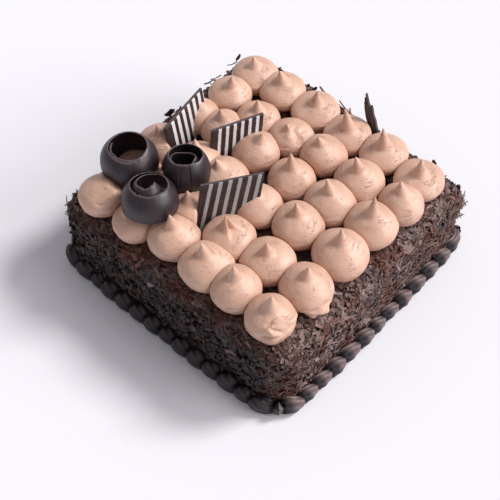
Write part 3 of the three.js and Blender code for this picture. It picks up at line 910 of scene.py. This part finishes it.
def flake_axes(facing, kind):
    """Each flake's three axes: along it, across it and out of it, turned and tilted at random."""
    turn = DICE.normal(0, kind["turn"], len(facing))[:, None]
    level = np.cross([0.0, 0.0, 1.0], facing)
    level = unit(np.where(np.abs(facing[:, 2:]) > 0.95, [1.0, 0.0, 0.0], level))
    rising = np.cross(facing, level)
    along = np.cos(turn) * level + np.sin(turn) * rising
    across = np.cross(facing, along)
    sideways = DICE.normal(size=turn.shape) * along + DICE.normal(size=turn.shape) * across
    return squared(along, facing + kind["tilt"] * sideways)


def lay_chips(spots, axes, length, width):
    """Small flat chips with sharp uneven edges, each a closed solid of ten triangles."""
    count, corners = len(spots), CHIP_CORNERS
    angle = (np.arange(corners) + DICE.uniform(-0.3, 0.3, (count, corners))) * 2 * math.pi / corners
    u = 0.5 * length[:, None] * np.cos(angle) * DICE.uniform(0.75, 1.2, (count, corners))
    v = 0.5 * width[:, None] * np.sin(angle) * DICE.uniform(0.75, 1.2, (count, corners))
    lift = DICE.uniform(-0.25, 0.25, (count, corners)) * width[:, None]
    local = np.zeros((count, corners + 2, 3))
    local[:, :corners] = np.stack([u, v, lift], axis=-1)
    local[:, corners, 2] = CHIP_THICK / 2
    local[:, corners + 1, 2] = -CHIP_THICK / 2
    points = spots[:, None] + sum(local[:, :, k, None] * axes[k][:, None] for k in range(3))
    k = np.arange(corners)
    following = (k + 1) % corners
    chip = np.concatenate([np.stack([k, following, k * 0 + corners], axis=1),
                           np.stack([following, k, k * 0 + corners + 1], axis=1)])
    faces = chip[None] + (corners + 2) * np.arange(count)[:, None, None]
    return points.reshape(-1, 3), faces.reshape(-1, 3), corners + 2


def lay_strips(spots, axes, length, width, thick, bend, twist, stations):
    """Thin strips that curl along their length. bend: their radius. twist: turn, end to end."""
    count = len(spots)
    share = np.linspace(-0.5, 0.5, stations)[None, :]
    angle = share * (length / bend)[:, None]
    run = bend[:, None] * np.sin(angle)
    lift = bend[:, None] * (1 - np.cos(angle))
    roll = share * twist[:, None]
    narrowing = (2 * share) ** 2 * DICE.uniform(0.3, 1, (count, 1))
    half = 0.5 * width[:, None] * np.sqrt(1.04 - narrowing)
    half = half * DICE.uniform(0.85, 1.1, (count, stations))
    corners = []
    for side, face in ((-1, -1), (1, -1), (1, 1), (-1, 1)):
        across = side * half * np.cos(roll) - face * thick / 2 * np.sin(roll)
        out = lift + side * half * np.sin(roll) + face * thick / 2 * np.cos(roll)
        corners.append(run[..., None] * axes[0][:, None] + across[..., None] * axes[1][:, None]
                       + out[..., None] * axes[2][:, None])
    points = spots[:, None, None] + np.stack(corners, axis=2)
    strip = grid_faces(stations, 4, closed=True)
    last = 4 * (stations - 1)
    strip = np.concatenate([strip[:, ::-1], [[0, 1, 2, 3], [last + 3, last + 2, last + 1, last]]])
    faces = strip[None] + 4 * stations * np.arange(count)[:, None, None]
    return points.reshape(-1, 3), faces.reshape(-1, 4), 4 * stations


def random_strips(kind, spots, axes, length):
    """Strips of one kind, each with a width, a bend and a twist of its own."""
    count = len(spots)
    return lay_strips(spots, axes, length, DICE.uniform(*kind["width"], count), STRIP_THICK,
                      DICE.uniform(*kind["bend"], count) * DICE.choice([-1, 1], count),
                      DICE.uniform(-kind["twist"], kind["twist"], count), kind["stations"])


def flake_tone(facing):
    """How pale each flake is: some have bloom. Painted light and shade by side: the top and the
    right side are painted paler, the front side darker, and bloom is kept off the front side as
    painted shade.
    """
    tone = DICE.normal(0, 0.15, len(facing)) * (1 + 0.5 * facing[:, 0])
    front = np.clip(-facing[:, 1], 0, 1)
    # Bloom is kept off the front side: painted shade.
    tone += BLOOM_PALER * (DICE.random(len(facing)) > 1 - BLOOM_SHARE) * (1 - front)
    # The last three terms are painted light and shade, by the way each flake faces.
    return (FLAKE_TONE + tone + TOP_PAINTED_LIGHT * np.clip(facing[:, 2], 0, 1)
            + RIGHT_PAINTED_LIGHT * facing[:, 0] - FRONT_PAINTED_SHADE * front)


def make_flakes(name, laid, tone):
    """A piece of joined flakes. laid: their points and faces, and how many points each has."""
    points, faces, each = laid
    make_piece(name, points, faces, [FLAKE], smooth=False, tone=np.repeat(tone, each))


def long_weight(middle, facing):
    """How dense the long shavings lie: most on the right side, above its foot and far back."""
    y, z = middle[:, 1], middle[:, 2]
    right = (facing[:, 0] > 0.6) * smooth_step(z, 14, 30) * smooth_step(y, -60, 20)
    return right + 0.06 * (z > 15) * (facing[:, 2] < 0.8)


def make_shavings(surface):
    spots, facing = on_surface(surface, CHIP, coat_weight)
    length = CHIP_LEAST + CHIP_SPREAD * DICE.random(len(spots)) ** 1.5
    width = length * DICE.uniform(*CHIP_WIDTH, len(spots))
    laid = lay_chips(spots, flake_axes(facing, CHIP), length, width)
    make_flakes("small_shavings", laid, flake_tone(facing))

    spots, facing = on_surface(surface, SHORT, coat_weight)
    length = DICE.uniform(*SHORT["length"], len(spots))
    laid = random_strips(SHORT, spots, flake_axes(facing, SHORT), length)
    make_flakes("curled_shavings", laid, flake_tone(facing) + SHORT["paler"])

    spots, facing = on_surface(surface, LONG, long_weight)
    axes = flake_axes(facing, LONG)
    laid = random_strips(LONG, spots, axes, DICE.uniform(*LONG["length"], len(spots)))
    make_flakes("long_shavings", laid, flake_tone(facing) + LONG["paler"])


# Larger pieces that stand out, listed one by one: [where, along, out of its face, length, width,
# radius of its bend, tone].
LOOSE_PIECES = [
    [(-31, 97.5, 63.5), (0.9, -0.3, -0.1), (0.2, 0.5, 0.8), 11, 2.2, 40, 0.35],
    [(-9, 95, 64.0), (0.9, -0.2, -0.3), (0.3, 0.6, 0.7), 15, 1.5, 60, 0.35],
    [(-4, 93, 64.0), (0.8, 0.1, -0.5), (0.6, 0.3, 0.7), 7, 2.4, 15, 0.5],
    [(-38, 95, 64.5), (0.5, 0.3, 0.8), (0.7, -0.6, 0.1), 6, 2.6, 20, 0.4],
    [(-99.5, 74, 63), (0.2, 0.9, 0.4), (-0.7, 0.2, 0.7), 8, 3, 10, 0.35],
    [(-99, 80, 66), (-0.1, 0.5, 0.85), (-0.8, 0.2, 0.1), 6, 3, 12, 0.3],
    [(-99.5, 48, 63), (0.1, 0.8, 0.6), (-0.8, 0.3, 0.5), 7, 2.6, 12, 0.35],
    [(-99.5, 56, 62), (0.3, 0.9, -0.2), (-0.7, 0.2, 0.7), 9, 2.4, 20, 0.4],
    [(-99.5, 7, 63), (0.3, 0.5, 0.8), (-0.8, 0.5, 0.2), 9, 5, 14, 0.4],
    [(68, 98, 61.5), (0.2, -0.2, 0.95), (0.3, 0.6, 0.1), 9, 5, 20, 0.35],
    [(54, 93, 62.5), (0.5, 0.3, 0.7), (-0.2, 0.3, 0.4), 7, 2.4, 12, 0.4],
    [(91, -50, 62.3), (0.4, -0.9, -0.1), (0.25, 0.1, 0.95), 15, 5.5, 60, 0.85],
    [(88, -71, 62.4), (0.75, 0.55, 0.1), (0.3, -0.3, 0.9), 9, 3.4, 14, 1.25],
    [(99.8, 79, 56), (0.1, 0.95, 0.1), (0.9, 0.0, 0.3), 10, 5, 25, 0.5],
    [(-9, -98.6, 55), (0.6, 0.0, 0.8), (0.05, -0.95, 0.3), 11, 4, 18, 0.95],
    [(60, -98.5, 47), (0.8, 0, 0.4), (0, -1, 0.2), 9, 3, 12, 0.6],
    [(98, 30, 60), (0.2, 0.95, 0), (0.5, 0, 0.85), 10, 6, 30, 0.7],
]


def make_loose_pieces():
    spots, along, out = (np.array([row[k] for row in LOOSE_PIECES], float) for k in range(3))
    length, width, bend, tone = np.array([row[3:] for row in LOOSE_PIECES], float).T
    axes = squared(along, out)
    laid = lay_strips(spots + axes[2] * LOOSE_RAISED, axes, length, width, LOOSE_THICK, bend,
                      0 * bend + LOOSE_TWIST, LOOSE_STATIONS)
    make_flakes("broken_pieces", laid, tone)


SHARD_GRID = (30, 41)  # points up the shard and across it
SHARD_AT = (23.5, 91)
SHARD_HEIGHT = 38
SHARD_HALF_WIDTH = (5.0, 2.4)  # at its foot, and how much it loses on the way up
SHARD_LEAN = (2, -15.5, 0.7)  # along X: at its foot, on the way up, and the bend's power
SHARD_HOLLOW = 1.2  # how deep its back is hollowed, and how far it leans to the front
SHARD_THICK = 1.7
SHARD_TONE = 0.1
PRONGS = ((0.42, 0.16, 1.0), (-0.1, 0.13, 0.6))  # place across, half-width and height
PRONG_SHARE = 0.26  # the part of the shard's height that is prongs


def make_shard():
    """The tall shard at the back: a thin bent splinter that ends in two prongs."""
    rows, columns = SHARD_GRID
    share = np.linspace(0, 1, rows)[:, None]
    side = np.linspace(-1, 1, columns)[None, :]
    prongs = sum(rise * np.exp(-((side - at) / half) ** 4) for at, half, rise in PRONGS)
    up = share * (1 - PRONG_SHARE + PRONG_SHARE * prongs)
    at_foot, loss = SHARD_HALF_WIDTH
    half = (at_foot - loss * up) * (1 - 0.12 * np.sin(5 * up) * side)
    start, lean, power = SHARD_LEAN
    flat = spread(start + lean * up ** power + half * side,
                  -SHARD_HOLLOW * (up + 1 - side ** 2), SHARD_HEIGHT * up - 1)
    flat += 0.25 * smooth_noise(flat, 5, 90)[:, None]
    points = np.concatenate([flat, flat + [0, SHARD_THICK, 0]]) + [*SHARD_AT, CAKE_TOP]
    front = grid_faces(rows, columns)
    faces = np.concatenate([front, front[:, ::-1] + rows * columns, rim_faces(rows, columns)])
    make_piece("tall_shard", points, faces, [CURL], ["shard_back"], smooth=False,
               tone=np.full(len(points), SHARD_TONE))


# ---- building it all ----

coat_surface = make_coat()
for number, kiss in enumerate(KISSES):
    make_kiss(kiss, number)
for quarter, side in enumerate(("front", "right", "back", "left")):
    make_border(quarter, side)
for number, curl in enumerate(CURLS):
    make_curl(curl, number)
for number, plate in enumerate(PLATES):
    make_plate(plate, number)
make_shavings(coat_surface)
make_loose_pieces()
make_shard()


# ---- the floor, the lights and the camera ----

FLOOR_HALF = 3.0  # in metres
FLOOR_DROP = 0.0002  # in metres, below the border's own foot
FLOOR_COLOUR = (0.875, 0.882, 0.95)
SUN_COLOUR = (1.0, 0.97, 0.94)
SKY_COLOUR = (1.0, 0.96, 0.98)
SKY_STRENGTH = 0.36
CAMERA_AT = (274.6, -316.5, 599.7)
CAMERA_TARGET = (-5.85, -9.65, 0)
CAMERA_LENS = 71.96


def make_floor():
    mesh = bpy.data.meshes.new("floor")
    half = FLOOR_HALF
    mesh.from_pydata([(-half, -half, 0), (half, -half, 0), (half, half, 0), (-half, half, 0)], [],
                     [(0, 1, 2, 3)])
    pale = Finish("pale_floor", roughness=0.9, specular=0.1)
    pale.shader.inputs["Base Color"].default_value = (*FLOOR_COLOUR, 1)
    mesh.materials.append(pale.material)
    floor = bpy.data.objects.new("floor", mesh)
    floor.location.z = -FLOOR_DROP
    bpy.context.scene.collection.objects.link(floor)


def make_sun(name, energy, width, plan, height):
    """A soft lamp far away. width, height: how wide it looks and how high it stands, in degrees.
    plan: the way towards it, in plan."""
    sun = bpy.data.lights.new(name, "SUN")
    sun.energy = energy
    sun.angle = math.radians(width)
    sun.color = SUN_COLOUR
    lamp = bpy.data.objects.new(name, sun)
    towards = Vector((*plan, 0)).normalized() * math.cos(math.radians(height))
    towards.z = math.sin(math.radians(height))
    lamp.rotation_euler = towards.to_track_quat("Z", "Y").to_euler()
    bpy.context.scene.collection.objects.link(lamp)


def make_lights():
    world = bpy.data.worlds.new("studio")
    bpy.context.scene.world = world
    world.use_nodes = True
    sky = world.node_tree.nodes["Background"]
    sky.inputs["Color"].default_value = (*SKY_COLOUR, 1)
    sky.inputs["Strength"].default_value = SKY_STRENGTH
    make_sun("key", energy=2.35, width=16, plan=(0.50, 0.86), height=45)
    make_sun("side", energy=1.6, width=38, plan=(0.90, 0.43), height=27)


def make_camera():
    seen = bpy.data.cameras.new("camera")
    seen.sensor_width = 36
    seen.lens = CAMERA_LENS
    camera = bpy.data.objects.new("camera", seen)
    camera.location = Vector(CAMERA_AT) * MM
    towards = Vector(CAMERA_TARGET) * MM - camera.location
    camera.rotation_euler = towards.to_track_quat("-Z", "Y").to_euler()
    bpy.context.scene.collection.objects.link(camera)
    bpy.context.scene.camera = camera


make_floor()
make_lights()
make_camera()
bpy.context.scene.view_settings.view_transform = "Standard"
